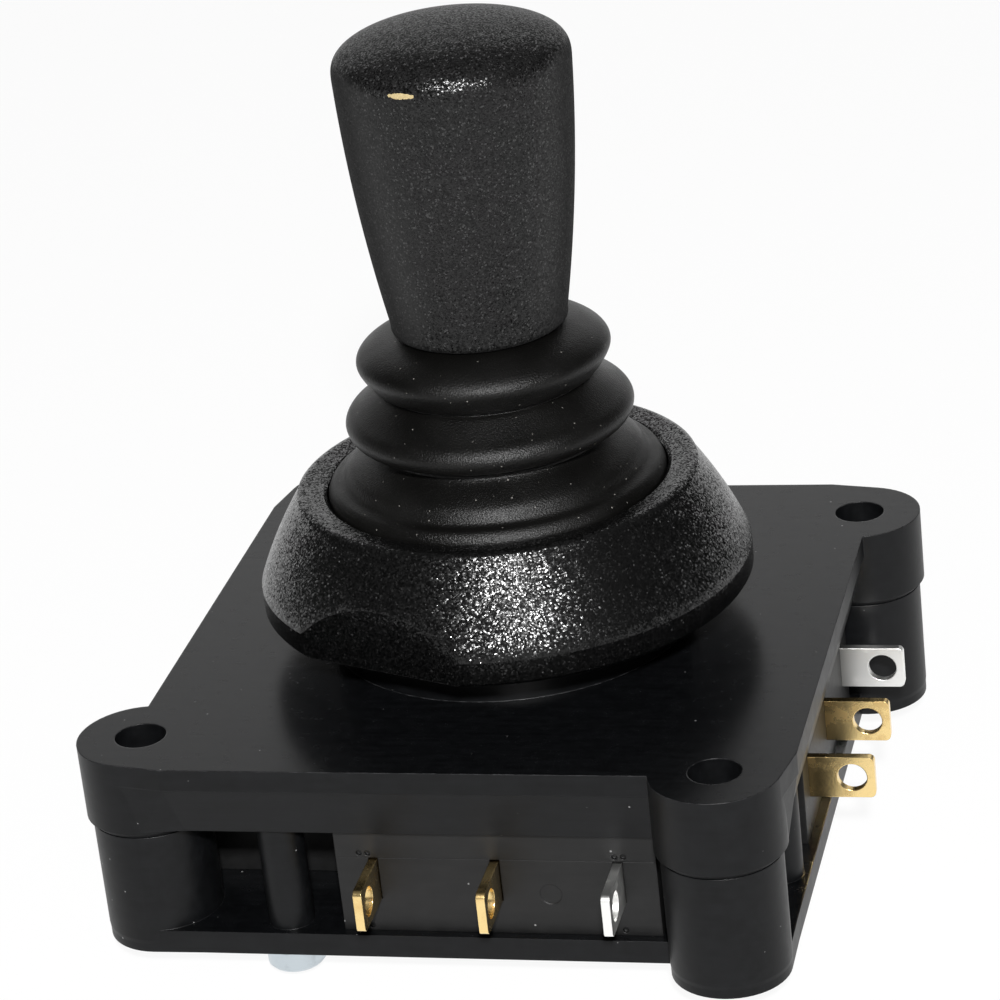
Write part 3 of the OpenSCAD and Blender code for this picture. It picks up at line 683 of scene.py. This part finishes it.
@dataclass(frozen=True)
class StripMetal:
    """Rolled, drawn or plated metal with fine lines, small stains and, if asked, painted shade at
    the root.
    """

    name: str
    colour: Colour
    stain: Colour
    roughness: float = 0.22
    stain_cover: float = 0.5
    stain_roughness: float = 0.16
    pitch: float = 0.15
    depth: float = 0.006
    # Reach from the axis, in millimetres, over which the painted shade near the case fades out.
    root: Span | None = None
    root_shade_cover: float = 0.8
    root_shade: float = 0.22

    def material(self) -> bpy.types.Material:
        """Builds the material.

        Returns:
            The material.
        """
        made, graph, shader = new_material(self.name)
        lines = EFFECTS.place(graph, Effect.BRUSH, Pitch=self.pitch)
        rub = EFFECTS.place(graph, Effect.RUB, Radius=0.12, Patchiness=0.3, Gain=1.5)
        stain = graph.math("MULTIPLY", lines.outputs["Stain"], self.stain_cover)
        colour = graph.mix(stain, self.colour, self.stain)
        # Painted shade and reflection: the terminals darken towards the switch case, standing in
        # for its shadow and the black plastic they mirror.
        if self.root is not None:
            x, y, _ = graph.split(graph.vector("ABSOLUTE", graph.where()).outputs[0])
            start, end = (reach * MM for reach in self.root)
            painted_root_shade = graph.ramp(graph.math("MAXIMUM", x, y), start, end, self.root_shade_cover, 0.0,
                              smooth=True)
            colour = graph.mix(painted_root_shade, colour, tuple(c * self.root_shade for c in self.stain))
        rough = graph.ramp(lines.outputs["Stain"], 0.0, 1.0, self.roughness,
                           self.roughness + self.stain_roughness)
        set_surface(graph, shader, colour, rough, bump(
            graph, lines.outputs["Height"], self.depth, rub.outputs["Normal"]))
        shader.inputs["Metallic"].default_value = 1.0
        return made


@dataclass(frozen=True)
class InnerPlastic:
    """Natural or coloured engineering plastic of the hidden pieces."""

    name: str
    colour: Colour
    roughness: float = 0.4
    cloud_scale: float = 300.0
    cloud_shade: Span = (0.9, 1.08)
    cloud_roughness: Span = (-0.04, 0.06)
    grain_scale: float = 2600.0
    grain_depth: float = 0.008

    def material(self) -> bpy.types.Material:
        """Builds the material.

        Returns:
            The material.
        """
        made, graph, shader = new_material(self.name)
        where = graph.where()
        cloud = graph.noise(where, self.cloud_scale, detail=3.0)
        rub = EFFECTS.place(graph, Effect.RUB, Radius=0.15, Patchiness=0.4, Gain=1.0)
        shade = graph.spread(cloud, *self.cloud_shade)
        colour = graph.vector("SCALE", self.colour, shade).outputs[0]
        rough = graph.spread(cloud, *(self.roughness + r for r in self.cloud_roughness))
        grain = graph.noise(where, self.grain_scale)
        set_surface(graph, shader, colour, rough, bump(
            graph, grain, self.grain_depth, rub.outputs["Normal"]))
        return made


# ---- Shared mesh work ----


def dress(node: bpy.types.Object, material: bpy.types.Material) -> None:
    """Gives every material slot of an object one material.

    Args:
        node: The object.
        material: Its new material.
    """
    if not node.material_slots:
        node.data.materials.append(material)
    for slot in node.material_slots:
        slot.material = material


def crease(piece: bpy.types.Object, angle: float) -> None:
    """Keeps a piece's edges sharp above an angle.

    Args:
        piece: The piece.
        angle: The angle in degrees.
    """
    split = piece.modifiers.new("keep_edges", "EDGE_SPLIT")
    split.split_angle = math.radians(angle)


def smooth_node(node: bpy.types.Object, angle: float) -> None:
    """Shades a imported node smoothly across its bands, up to an angle, with its mesh as it is.

    Args:
        node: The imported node's object.
        angle: Edges sharper than this stay sharp, in degrees.
    """
    normals = node.data.attributes.get("custom_normal")
    if normals is not None:
        node.data.attributes.remove(normals)
    node.data.shade_smooth()
    weld = node.modifiers.new("join_seams", "WELD")
    weld.merge_threshold = 0.002 * MM
    crease(node, angle)


def smooth_line(points: Line, steps: int) -> Line:
    """Runs a smooth line through points.

    Args:
        points: Points in the plane.
        steps: Steps between each two.

    Returns:
        The points of the line.
    """
    last = len(points) - 1
    line = []
    for i in range(last):
        a, b, c, d = (points[min(max(i + k, 0), last)] for k in (-1, 0, 1, 2))
        for k in range(steps):
            t = k / steps
            line.append(tuple(
                (2 * q + (r - p) * t + (2 * p - 5 * q + 4 * r - s) * t ** 2
                 + (3 * q - p - 3 * r + s) * t ** 3) / 2
                for p, q, r, s in zip(a, b, c, d)))
    line.append(points[last])
    return line


def offset_line(points: Line, distance: float) -> Line:
    """Moves a line sideways.

    Args:
        points: The line.
        distance: How far it moves to the left of its way.

    Returns:
        The moved line.
    """
    last = len(points) - 1
    moved = []
    for i, (x, y) in enumerate(points):
        dx = points[min(i + 1, last)][0] - points[max(i - 1, 0)][0]
        dy = points[min(i + 1, last)][1] - points[max(i - 1, 0)][1]
        span = math.hypot(dx, dy)
        moved.append((x - dy / span * distance, y + dx / span * distance))
    return moved


def revolved(name: str, profile: Line, segments: int = 144) -> bpy.types.Object:
    """Turns a closed profile round the stick's axis.

    Args:
        name: The piece's name.
        profile: Radius and height of each point, in millimetres; radius 0 is a pole.
        segments: Steps round the axis.

    Returns:
        The new object.
    """
    mesh = bmesh.new()
    poles = {i: mesh.verts.new((0.0, 0.0, z * MM)) for i, (r, z) in enumerate(profile) if r == 0.0}
    rings = []
    for k in range(segments):
        a = 2 * math.pi * k / segments
        rings.append([
            poles[i] if i in poles
            else mesh.verts.new((r * MM * math.cos(a), r * MM * math.sin(a), z * MM))
            for i, (r, z) in enumerate(profile)])
    count = len(profile)
    for k in range(segments):
        here, there = rings[k], rings[(k + 1) % segments]
        for i in range(count):
            j = (i + 1) % count
            corners = list(dict.fromkeys((here[i], there[i], there[j], here[j])))
            if len(corners) > 2:
                mesh.faces.new(corners)
    bmesh.ops.recalc_face_normals(mesh, faces=mesh.faces)
    return linked(name, mesh)


def linked(name: str, mesh: bmesh.types.BMesh) -> bpy.types.Object:
    """Makes an object from a finished mesh and shades it smoothly.

    Args:
        name: The piece's name.
        mesh: Its mesh, which is freed.

    Returns:
        The new object.
    """
    data = bpy.data.meshes.new(name)
    mesh.to_mesh(data)
    mesh.free()
    data.shade_smooth()
    made = bpy.data.objects.new(name, data)
    bpy.context.scene.collection.objects.link(made)
    return made


# ---- The part ----


@dataclass
class Bellows:
    """Two-fold rubber bellows between bezel and knob, in two pieces that meet in a groove."""

    mouth_r: float = 15.15
    foot_z: float = 13.65
    rim_z: float = 14.65
    low_waist_r: float = 10.4
    low_fold: Span = (12.7, 20.6)
    waist_r: float = 9.2
    high_fold: Span = (11.15, 26.2)
    top_r: float = 7.75
    top_z: float = 28.6
    wall: float = 0.7
    steps: int = 8
    seam_point: int = 6

    def profile(self) -> Line:
        """Draws the outside, with all lengths in millimetres.

        Returns:
            The outer line's points from the bezel up to the knob.
        """
        low_r, low_z = self.low_fold
        high_r, high_z = self.high_fold
        middle = (low_z + high_z) / 2
        return [
            (self.mouth_r - 0.2, self.foot_z), (self.mouth_r - 0.2, self.rim_z - 0.25),
            (self.mouth_r - 0.7, self.rim_z + 0.5), (self.mouth_r - 1.6, self.rim_z + 0.9),
            ((self.mouth_r + self.low_waist_r) / 2, (self.rim_z + low_z) / 2 - 0.9),
            (self.low_waist_r + 0.3, low_z - 2.5), (self.low_waist_r, low_z - 1.95),
            (self.low_waist_r + 0.8, low_z - 1.5), (low_r - 0.45, low_z - 0.95),
            (low_r, low_z), (low_r - 0.4, low_z + 0.9), (low_r - 1.4, low_z + 1.65),
            (self.waist_r + 0.55, middle), (self.waist_r, middle + 0.4),
            (self.waist_r + 0.7, high_z - 2.0), (high_r - 0.45, high_z - 1.0),
            (high_r, high_z), (high_r - 0.4, high_z + 0.85), (high_r - 1.5, high_z + 1.6),
            (self.top_r + 0.5, self.top_z - 0.3), (self.top_r - 0.8, self.top_z)]

    def build(self, material: bpy.types.Material) -> list[bpy.types.Object]:
        """Builds both pieces.

        Args:
            material: The rubber.

        Returns:
            The lower and the upper piece.
        """
        line = smooth_line(self.profile(), self.steps)
        split = self.seam_point * self.steps
        pieces = []
        for name, part in (("bellows_lower", line[:split + 1]), ("bellows_upper", line[split:])):
            piece = revolved(name, part + offset_line(part, self.wall)[::-1])
            dress(piece, material)
            pieces.append(piece)
        lower, upper = pieces
        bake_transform(lower)
        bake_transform(upper)
        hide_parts("bellows")
        return pieces


@dataclass
class Spring:
    """Conical centring spring between the gate plate and the collar, in two lengths of wire."""

    wire_r: float = 0.45
    low_r: float = 8.7
    high_r: float = 5.1
    foot_z: float = 11.1
    head_z: float = 24.9
    turns: float = 5.5
    closed: float = 50.0
    parted: float = 0.38
    steps: int = 40
    sides: int = 12

    def height(self, t: float) -> float:
        """Gives the wire's height at a place along it, with both ends wound close."""
        lift = t - math.sin(2 * math.pi * t) * self.closed / 360
        return self.foot_z + (self.head_z - self.foot_z) * lift

    def ring(self, t: float) -> list[Point]:
        """Gives the wire's outline at one place.

        Args:
            t: Place along the wire, from 0 at its foot to 1 at its head.

        Returns:
            Points round the wire.
        """
        turn = 2 * math.pi * self.turns * t
        radius = self.low_r + (self.high_r - self.low_r) * t
        height = self.height(t)
        points = []
        for k in range(self.sides):
            w = 2 * math.pi * k / self.sides
            r = radius + self.wire_r * math.cos(w)
            points.append((r * math.cos(turn) * MM, r * math.sin(turn) * MM,
                           (height + self.wire_r * math.sin(w)) * MM))
        return points

    def length(self, name: str, start: float, end: float) -> bpy.types.Object:
        """Builds one length of wire with closed ends.

        Args:
            name: The piece's name.
            start: Where it starts along the wire.
            end: Where it ends.

        Returns:
            The new piece.
        """
        count = round(self.turns * self.steps * (end - start))
        mesh = bmesh.new()
        rings = [[mesh.verts.new(p) for p in self.ring(start + (end - start) * i / count)]
                 for i in range(count + 1)]
        for here, there in zip(rings, rings[1:]):
            for k in range(self.sides):
                m = (k + 1) % self.sides
                mesh.faces.new((here[k], here[m], there[m], there[k]))
        mesh.faces.new(rings[0][::-1])
        mesh.faces.new(rings[-1])
        bmesh.ops.recalc_face_normals(mesh, faces=mesh.faces)
        made = linked(name, mesh)
        crease(made, 50.0)
        return made

    def build(self, wire: bpy.types.Material) -> list[bpy.types.Object]:
        """Builds both lengths.

        Args:
            wire: The wire's material.

        Returns:
            The lower and the upper length.
        """
        lower = self.length("spring_lower", 0.0, self.parted)
        upper = self.length("spring_upper", self.parted, 1.0)
        for piece in (lower, upper):
            dress(piece, wire)
        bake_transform(lower)
        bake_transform(upper)
        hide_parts("centring_spring")
        return [lower, upper]


@dataclass
class Knob:
    """Tapered grip with a crowned top, bored for its threaded insert and the shaft."""

    foot_r: float = 7.75
    foot_z: float = 28.7
    crown_r: float = 10.24
    crown_z: float = 52.1
    crown_h: float = 3.95
    crown_flank: float = 0.96
    crown_rise: float = 0.724
    bow: float = 0.42
    round_r: float = 0.6
    round_step: int = 20
    side_steps: int = 24
    crown_steps: int = 40
    insert_r: float = 4.6
    insert_l: float = 12.2
    shaft_r: float = 3.04
    shaft_top: float = 46.5
    nick_at: Point = (-2.0, -10.0, 52.7)
    nick_half: Point = (1.2, 1.2, 0.26)

    def profile(self) -> Line:
        """Draws the closed outline, with all lengths in millimetres.

        Returns:
            Points from the bore's end down, round the foot and up to the crown.
        """
        low = self.foot_z + 1.0
        line = [(0.0, self.shaft_top), (self.shaft_r, self.shaft_top),
                (self.shaft_r, self.foot_z + self.insert_l),
                (self.insert_r, self.foot_z + self.insert_l), (self.insert_r, self.foot_z)]
        for degrees in range(-90, 0, self.round_step):
            a = math.radians(degrees)
            line.append((self.foot_r - self.round_r * (1 - math.cos(a)),
                         self.foot_z + self.round_r * (1 + math.sin(a))))
        for k in range(self.side_steps):
            t = k / self.side_steps
            bulge = self.bow * 4 * t * (1 - t)
            line.append((self.foot_r + (self.crown_r - self.foot_r) * t + bulge,
                         low + (self.crown_z - low) * t))
        last = self.crown_steps - 1
        for k in range(last):
            a = math.pi / 2 * k / last
            line.append((self.crown_r * math.cos(a) ** self.crown_flank,
                         self.crown_z + self.crown_h * math.sin(a) ** self.crown_rise))
        line.append((0.0, self.crown_z + self.crown_h))
        return line

    def build(self) -> bpy.types.Object:
        """Builds the grip on the stick.

        Returns:
            The grip.
        """
        grip = revolved("grip", self.profile(), 192)
        crease(grip, 40.0)
        dress(grip, ErodedPlastic(
            "eroded_grip", colour=(0.0067, 0.0067, 0.0067), painted_glint_colour=(0.03, 0.03, 0.03),
            grain=0.13, tilt=0.4, roughness=0.24, shine=0.2, limb_roughness=0.85, limb_top=0.5,
            nick=(self.nick_at, self.nick_half)).material())
        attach(grip, "stick")
        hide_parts("knob")
        return grip


@dataclass
class Housing:
    """Upper housing, base, bezel and screws."""

    def build(self, nodes: dict[str, bpy.types.Object]) -> None:
        """Dresses the housing's nodes.

        Args:
            nodes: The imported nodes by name.
        """
        plastic = SatinPlastic("satin_housing").material()
        for name in ("top_housing", "base_housing"):
            dress(nodes[name], plastic)
        smooth_node(nodes["bezel"], 32.0)
        dress(nodes["bezel"], ErodedPlastic(
            "eroded_bezel", grain=0.14, tilt=0.37, shine=0.32, draft=0.4).material())
        screw = StripMetal("zinc_screw", (0.58, 0.64, 0.68), (0.36, 0.39, 0.41), roughness=0.3)
        dress(nodes["base_screws"], screw.material())


@dataclass
class Switches:
    """The four snap switches with their terminals."""

    def build(self, nodes: dict[str, bpy.types.Object]) -> None:
        """Dresses the switches.

        Args:
            nodes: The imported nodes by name.
        """
        case = SatinPlastic(
            "switch_plastic", colour=(0.0034, 0.0034, 0.0035), roughness=0.4, side_roughness=0.5,
            flow_depth=0.004, dust=0.04, wear=0.3, shine=0.36).material()
        finishes = {
            "case": case, "cover": case,
            "plunger": InnerPlastic("plunger_plastic", (0.45, 0.03, 0.02), 0.3).material(),
            "blade": StripMetal("blade_bronze", (0.72, 0.45, 0.22), (0.5, 0.3, 0.15)).material(),
            "gold_terminals": StripMetal("gold_strip", (0.98, 0.74, 0.34), (0.75, 0.48, 0.18),
                                         roughness=0.2, root=(26.5, 30.0)).material(),
            "silver_terminal": StripMetal("silver_strip", (0.97, 0.97, 0.95), (0.85, 0.84, 0.8),
                                          roughness=0.38, root=(26.5, 29.0)).material(),
        }
        for side in Side:
            for piece, finish in finishes.items():
                dress(nodes[f"{side.value}_switch_{piece}"], finish)


@dataclass
class Mechanism:
    """Gimbal, gate, spring and stick inside the housing."""

    def build(self, nodes: dict[str, bpy.types.Object]) -> None:
        """Dresses the inner pieces.

        Args:
            nodes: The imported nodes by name.
        """
        steel = StripMetal("ground_steel", (0.7, 0.7, 0.7), (0.5, 0.5, 0.5)).material()
        sheet = StripMetal("pressed_steel", (0.6, 0.6, 0.6), (0.45, 0.45, 0.44), 0.35).material()
        brass = StripMetal("turned_brass", (0.8, 0.6, 0.28), (0.6, 0.42, 0.2)).material()
        acetal = InnerPlastic("natural_acetal", (0.75, 0.73, 0.66)).material()
        finishes = {"gate_plate": sheet, "spring_collar": sheet, "retaining_clip": sheet,
                    "trunnion_pins": steel, "cross_pin": steel, "shaft": steel,
                    "switch_pins": steel, "knob_insert": brass,
                    "gimbal_ring": acetal, "pivot_hub": acetal, "actuator": acetal}
        for name, finish in finishes.items():
            dress(nodes[name], finish)


# ---- The studio ----


@dataclass
class Studio:
    """White table, pale wall all round, a grey ceiling and a lamp by the camera."""

    table_z: float = -0.0215
    table_r: float = 1.6
    white: Colour = (0.9, 0.9, 0.9)
    table_glow: float = 0.93
    wall_h: float = 1.15
    wall_turn: float = 14.7
    wall_facets: int = 96
    fade_up: Span = (0.68, 1.0)
    fade_along: Span = (0.35, 0.8)
    lamp_at: Point = (0.150, -0.523, 0.368)
    lamp_aim: Point = (0.0, 0.0, 0.015)
    lamp_size: float = 0.04
    lamp_power: float = 7.4
    ceiling: Colour = (0.12, 0.12, 0.12)

    def build(self) -> None:
        """Builds the table, the wall, the lamp and the world."""
        self._table()
        self._wall()
        self._lamp()
        self._world()

    def _glow(self, name: str, glow: float, fades: bool) -> bpy.types.Material:
        """Builds a pale surface that the camera and reflections see as near white.

        Args:
            name: The material's name.
            glow: Share of plain white that camera and reflections see.
            fades: Whether reflections see it fade towards its top and its sides.

        Returns:
            The material.
        """
        material, graph, shader = new_material(name)
        graph.feed(shader.inputs["Base Color"], self.white)
        shader.inputs["Roughness"].default_value = 0.9
        path = graph.node("LightPath")
        mirrored = graph.math("MAXIMUM", path.outputs["Is Glossy Ray"],
                              path.outputs["Is Transmission Ray"])
        seen = graph.math("MAXIMUM", path.outputs["Is Camera Ray"], mirrored)
        white = graph.node("Emission")
        if fades:
            graph.feed(white.inputs["Strength"], graph.math(
                "MAXIMUM", path.outputs["Is Camera Ray"], self._fade(graph)))
        mixer = graph.node("MixShader")
        graph.feed(mixer.inputs[0], graph.math("MULTIPLY", seen, glow))
        graph.feed(mixer.inputs[1], shader.outputs[0])
        graph.feed(mixer.inputs[2], white.outputs[0])
        output = next(n for n in material.node_tree.nodes if n.type == "OUTPUT_MATERIAL")
        graph.feed(output.inputs["Surface"], mixer.outputs[0])
        return material

    def _fade(self, graph: Graph) -> bpy.types.NodeSocket:
        """Lets the wall grow dark towards its top and away from its middle.

        Args:
            graph: The wall material's graph.

        Returns:
            The brightness's socket.
        """
        where = graph.where()
        low, high = (share * self.wall_h for share in self.fade_up)
        up = graph.ramp(graph.split(where)[2], low, high, 1.0, 0.05, smooth=True)
        towards = math.radians(self.wall_turn)
        middle = (math.sin(towards) * -self.table_r, math.cos(towards) * self.table_r, 0.0)
        flat = graph.vector("MULTIPLY", where, (1.0, 1.0, 0.0))
        away = graph.vector("DISTANCE", flat.outputs[0], middle).outputs["Value"]
        near, far = (share * self.table_r for share in self.fade_along)
        along = graph.ramp(away, near, far, 1.0, 0.03, smooth=True)
        return graph.math("MULTIPLY", up, along)

    def _table(self) -> None:
        """Builds the round table top."""
        mesh = bmesh.new()
        bmesh.ops.create_circle(mesh, cap_ends=True, segments=self.wall_facets,
                                radius=self.table_r)
        table = linked("table", mesh)
        table.location = (0.0, 0.0, self.table_z)
        dress(table, self._glow("table_white", self.table_glow, False))

    def _wall(self) -> None:
        """Builds the wall all round."""
        mesh = bmesh.new()
        turns = (2 * math.pi * k / self.wall_facets for k in range(self.wall_facets))
        rings = [[mesh.verts.new((self.table_r * math.cos(a), self.table_r * math.sin(a), z))
                  for z in (self.table_z, self.table_z + self.wall_h)] for a in turns]
        for k, here in enumerate(rings):
            there = rings[(k + 1) % len(rings)]
            mesh.faces.new((here[0], here[1], there[1], there[0]))
        wall = linked("wall", mesh)
        dress(wall, self._glow("wall_white", 1.0, True))

    def _lamp(self) -> None:
        """Adds a square lamp that faces the part from beside the camera."""
        data = bpy.data.lights.new("lamp_by_camera", "AREA")
        data.size = self.lamp_size
        data.energy = self.lamp_power
        lamp = bpy.data.objects.new("lamp_by_camera", data)
        bpy.context.scene.collection.objects.link(lamp)
        lamp.location = self.lamp_at
        way = Vector(self.lamp_aim) - Vector(self.lamp_at)
        lamp.rotation_euler = way.to_track_quat("-Z", "Y").to_euler()

    def _world(self) -> None:
        """Makes a world that is white to the camera and grey to everything else."""
        world = bpy.data.worlds.new("room")
        bpy.context.scene.world = world
        world.use_nodes = True
        world.node_tree.nodes.clear()
        graph = Graph(world.node_tree)
        path = graph.node("LightPath")
        shell = graph.node("Background")
        graph.feed(shell.inputs["Color"], graph.mix(path.outputs["Is Camera Ray"],
                                                    self.ceiling, (1.0, 1.0, 1.0)))
        output = graph.node("OutputWorld")
        graph.feed(output.inputs["Surface"], shell.outputs[0])


@dataclass
class ViewCamera:
    """The camera, high on the front right and slightly rolled."""

    at: Point = (0.080105, -0.304179, 0.148708)
    turn: Point = (66.44977, 6.31192, 13.19953)
    lens: float = 139.49
    sensor: float = 36.0
    nearest: float = 0.01
    shift: Span = (0.07417, 0.0)

    def build(self) -> None:
        """Adds the camera and makes it the scene's."""
        data = bpy.data.cameras.new("camera")
        data.lens = self.lens
        data.sensor_width = self.sensor
        data.shift_x, data.shift_y = self.shift
        data.clip_start = self.nearest
        camera = bpy.data.objects.new("camera", data)
        camera.location = self.at
        camera.rotation_euler = [math.radians(a) for a in self.turn]
        bpy.context.scene.collection.objects.link(camera)
        bpy.context.scene.camera = camera


def main() -> None:
    """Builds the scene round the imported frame."""
    logging.basicConfig(level=logging.INFO, format="%(message)s")
    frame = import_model()
    nodes = frame["nodes"]
    ViewCamera().build()
    rubber = Rubber("bellows_rubber_skin").material()
    for piece in (Housing(), Switches(), Mechanism()):
        piece.build(nodes)
        LOG.info("dressed %s", type(piece).__name__)
    wire = StripMetal("spring_wire", (0.5, 0.5, 0.51), (0.35, 0.35, 0.36), 0.3).material()
    for made in (*Bellows().build(rubber), *Spring().build(wire), Knob().build()):
        LOG.info("built %s", made.name)
    Studio().build()
    bpy.context.scene.view_settings.view_transform = "Standard"


if __name__ == "__main__":
    main()
